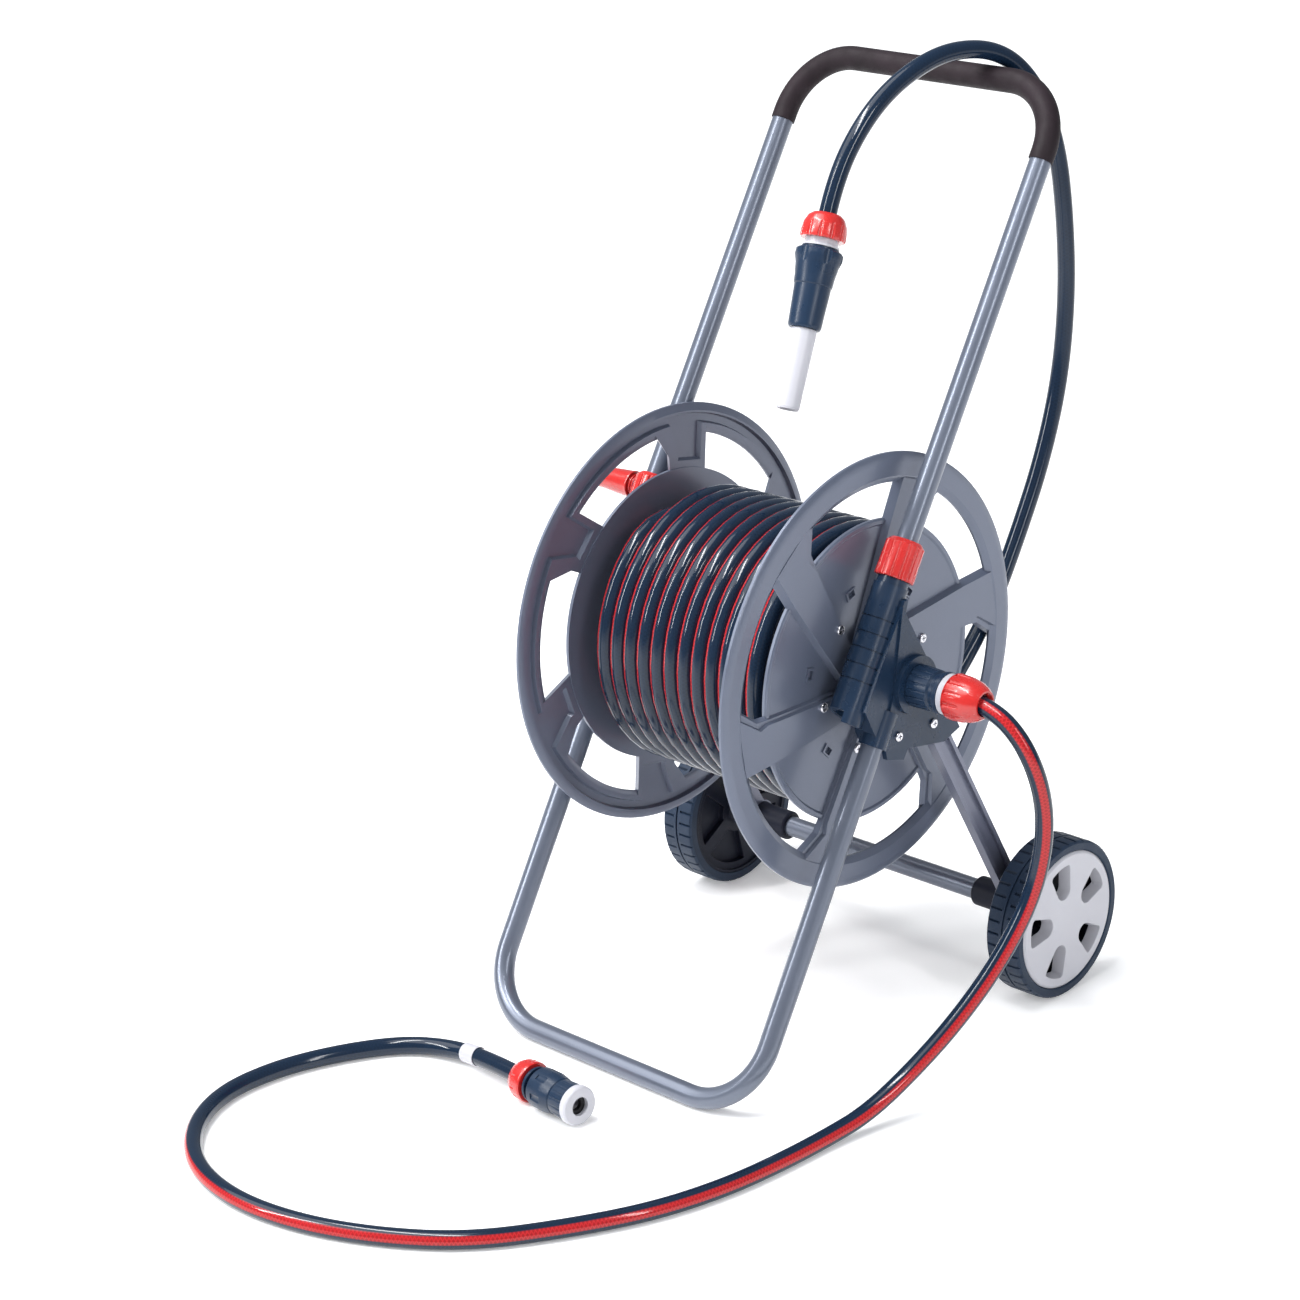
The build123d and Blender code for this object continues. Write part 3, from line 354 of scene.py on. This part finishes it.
MATERIALS = {
    "steel_tube_grey": metallic_paint("steel_tube_grey", (0.105, 0.121, 0.160), 0.4, 0.3, peel=0),
    "strut_grey": metallic_paint("strut_grey", (0.115, 0.125, 0.175), 0.35, 0.36),
    "reel_grey": metallic_paint("reel_grey", (0.094, 0.111, 0.158), 0.3, 0.34, flake=0.09, peel=0.01),
    "drum_grey": metallic_paint("drum_grey", (0.12, 0.13, 0.16), 0.25, 0.42),
    "navy_plastic": moulded("navy_plastic", (0.009, 0.022, 0.048), 0.30, gloss=0.28),
    "navy_tread": moulded("navy_tread", (0.011, 0.023, 0.047), 0.5, grain=0.3, gloss=0.25),
    "dark_plastic": moulded("dark_plastic", (0.010, 0.012, 0.022), 0.45, gloss=0.14),
    "red_plastic": moulded("red_plastic", (0.44, 0.014, 0.012), 0.25, coat=0.3, spread=0.07),
    "white_plastic": moulded("white_plastic", (0.44, 0.44, 0.48), 0.36, spread=0.03, subsurface=0.05),
    "grip_foam": foam("grip_foam", (0.014, 0.009, 0.012)),
    "hose_navy": hose_skin("hose_navy", (0.005, 0.013, 0.029), (0.27, 0.011, 0.013), 0.1),
    "screw_steel": steel("screw_steel", (0.62, 0.62, 0.66), 0.22),
    "seal_rubber": moulded("seal_rubber", (0.008, 0.008, 0.009), 0.55, gloss=0.3),
}


# ---------------------------------------------------------------- helpers for pieces
def body_of_node(node):
    for body, nodes in frame["record"]["behaviour"]["bodies"].items():
        if node in nodes:
            return body
    return None


def slot_of_node(node):
    for part in frame["record"]["subparts"]:
        if part["node"] == node:
            return part["material_slot"]
    return None


ROUNDING_ANGLE = math.radians(30)
SHARP_ANGLE = math.radians(40)
HOSE_SHARP_ANGLE = math.radians(60)
MERGE_DISTANCE = 1e-6
FLAT_ANGLE = math.radians(0.6)


def refine(node, bevel):
    """A CAD part again with its edges rounded, shown in place of the plain one."""
    source = frame["nodes"][node]
    mesh = source.data.copy()
    mesh.transform(source.matrix_world)
    bm = bmesh.new()
    bm.from_mesh(mesh)
    bmesh.ops.remove_doubles(bm, verts=bm.verts, dist=MERGE_DISTANCE)
    bmesh.ops.dissolve_limit(
        bm, angle_limit=FLAT_ANGLE, verts=bm.verts, edges=bm.edges, use_dissolve_boundaries=False
    )
    bm.to_mesh(mesh)
    bm.free()
    piece = bpy.data.objects.new(f"{node}_shown", mesh)
    bpy.context.collection.objects.link(piece)
    modifier = piece.modifiers.new("rounding", "BEVEL")
    modifier.width = bevel
    modifier.segments = 2
    modifier.limit_method = "ANGLE"
    modifier.angle_limit = ROUNDING_ANGLE
    modifier.miter_outer = "MITER_ARC"
    modifier.harden_normals = False
    mesh.shade_smooth()
    modifier = piece.modifiers.new("shading", "WEIGHTED_NORMAL")
    modifier.keep_sharp = True
    mesh.set_sharp_from_angle(angle=SHARP_ANGLE)
    slot = slot_of_node(node)
    mesh.materials.clear()
    mesh.materials.append(MATERIALS[slot])
    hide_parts(node)
    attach(piece, body_of_node(node))
    return piece


def paint_node(node):
    """A CAD part shown as it is, with its detailed material."""
    thing = frame["nodes"][node]
    material = MATERIALS[slot_of_node(node)]
    for place in thing.material_slots:
        place.material = material
    if not thing.material_slots:
        thing.data.materials.append(material)


def smooth_line(points, resolution=10):
    """Points along the smooth curve that has the route's points as its controls."""
    curve = bpy.data.curves.new("route", "CURVE")
    curve.dimensions = "3D"
    spline = curve.splines.new("NURBS")
    spline.points.add(len(points) - 1)
    for control, place in zip(spline.points, points):
        control.co = (*place, 1)
    spline.order_u = ROUTE_ORDER
    spline.use_endpoint_u = True
    spline.resolution_u = resolution
    holder = bpy.data.objects.new("route", curve)
    mesh = bpy.data.meshes.new_from_object(holder)
    line = [v.co.copy() for v in mesh.vertices]
    bpy.data.objects.remove(holder)
    bpy.data.curves.remove(curve)
    bpy.data.meshes.remove(mesh)
    return line


def hose_mesh(name, line, facing, sides=HOSE_SIDES):
    """A hose along the line. facing is where its stripe starts, to be followed without twist,
    or a function that gives the stripe's direction at each place."""
    mesh = bpy.data.meshes.new(name)
    tangents = []
    for i in range(len(line)):
        before = line[max(i - 1, 0)]
        after = line[min(i + 1, len(line) - 1)]
        tangents.append((after - before).normalized())
    fixed = callable(facing)
    guide = Vector((0, 0, 1)) if fixed else Vector(facing)
    verts, faces, along = [], [], [0.0]
    for i, (place, tangent) in enumerate(zip(line, tangents)):
        if i:
            along.append(along[-1] + (place - line[i - 1]).length)
            guide = tangents[i - 1].rotation_difference(tangent) @ guide
        if fixed:
            guide = facing(place)
        guide = (guide - tangent * guide.dot(tangent)).normalized()
        beside = tangent.cross(guide)
        for k in range(sides):
            turn = 2 * math.pi * (k / sides - 0.5)
            verts.append(place + (guide * math.cos(turn) + beside * math.sin(turn)) * HOSE_R)
    for i in range(len(line) - 1):
        for k in range(sides):
            n = (k + 1) % sides
            faces.append((i * sides + k, i * sides + n, (i + 1) * sides + n, (i + 1) * sides + k))
    last = (len(line) - 1) * sides
    faces.append(tuple(reversed(range(sides))))
    faces.append(tuple(last + k for k in range(sides)))
    mesh.from_pydata(verts, [], faces)
    mesh.materials.append(MATERIALS["hose_navy"])
    layer = mesh.uv_layers.new(name="along")
    uvs = [0.5] * (len(mesh.loops) * 2)
    for face in range((len(line) - 1) * sides):
        i, k = divmod(face, sides)
        corners = ((i, k), (i, k + 1), (i + 1, k + 1), (i + 1, k))
        for loop, (ring, side) in zip(mesh.polygons[face].loop_indices, corners):
            uvs[2 * loop] = along[ring] / YARN_PITCH
            uvs[2 * loop + 1] = side / sides
    for face in mesh.polygons[-2:]:
        for loop in face.loop_indices:
            uvs[2 * loop + 1] = 0.0
    layer.data.foreach_set("uv", uvs)
    mesh.shade_smooth()
    mesh.set_sharp_from_angle(angle=HOSE_SHARP_ANGLE)
    piece = bpy.data.objects.new(name, mesh)
    bpy.context.collection.objects.link(piece)
    return piece


def make_supply_hose():
    line = smooth_line(SUPPLY_ROUTE)
    piece = hose_mesh("supply_hose_shown", line, SUPPLY_STRIPE)
    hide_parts("supply_hose")
    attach(piece, "cart_frame")


def make_tail_hose():
    line = smooth_line(TAIL_ROUTE)
    piece = hose_mesh("tail_hose_shown", line, TAIL_STRIPE)
    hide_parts("tail_hose")
    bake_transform(piece)


def coil_stripe(place):
    """The stripe lies towards the crank's side of every turn."""
    radial = Vector((0, place.y - REEL.y, place.z - REEL.z)).normalized()
    return radial * math.cos(STRIPE_LEAN) - Vector((math.sin(STRIPE_LEAN), 0, 0))


def make_coil():
    """Three layers of turns, wound over and back, that end where the tail leaves the reel."""
    whole_turns = COIL_LAYERS * COIL_TURNS - TURNS_LEFT_OFF
    round_total = 2 * math.pi * whole_turns + (COIL_END_ANGLE - COIL_START_ANGLE) % (2 * math.pi)
    count = int(round_total / (2 * math.pi) * COIL_STEPS)
    layer_turns = round_total / (2 * math.pi) / COIL_LAYERS
    places = []
    for i in range(count + 1):
        angle = round_total * i / count
        turns = angle / (2 * math.pi)
        layer = min(int(turns / layer_turns), COIL_LAYERS - 1)
        share = turns / layer_turns - layer
        if layer % 2 == 1:
            share = 1 - share
        inset = 0.5 * COIL_PITCH if layer % 2 == 1 else 0.0
        x = COIL_FIRST_X + inset + share * (COIL_LAST_X - COIL_FIRST_X - 2 * inset)
        radius = COIL_OUTER_R - LAYER_STEP * (COIL_LAYERS - 1 - layer)
        round_now = COIL_START_ANGLE + angle
        places.append(REEL + Vector((x, math.cos(round_now) * radius, math.sin(round_now) * radius)))
    line = smooth_line(places, resolution=3)
    piece = hose_mesh("wound_hose_shown", line, coil_stripe, sides=COIL_SIDES)
    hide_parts("wound_hose")
    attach(piece, "reel")


# ---------------------------------------------------------------- the whole cart
HOSES = {"supply_hose", "tail_hose", "wound_hose"}
SMALL_BEVEL = 0.0005
BEVELS = {
    "bracket_right": 0.0016, "bracket_left": 0.0016, "flange_right": 0.0009, "flange_left": 0.0009,
    "tyre_right": 0.0009, "tyre_left": 0.0009, "wheel_cap_right": 0.0012, "wheel_cap_left": 0.0012,
    "crank_arm": 0.0012, "strut_right": 0.0012, "strut_left": 0.0012,
}
KEEP = {"frame_tube", "axle_tube", "axle_rod", "handle_tube", "water_pipe", "drum", "nozzle_core"}

make_camera()
make_studio()
make_floor()
for node in frame["nodes"]:
    if node in HOSES:
        continue
    if node in KEEP:
        paint_node(node)
    else:
        refine(node, BEVELS.get(node, SMALL_BEVEL))
make_supply_hose()
make_tail_hose()
make_coil()
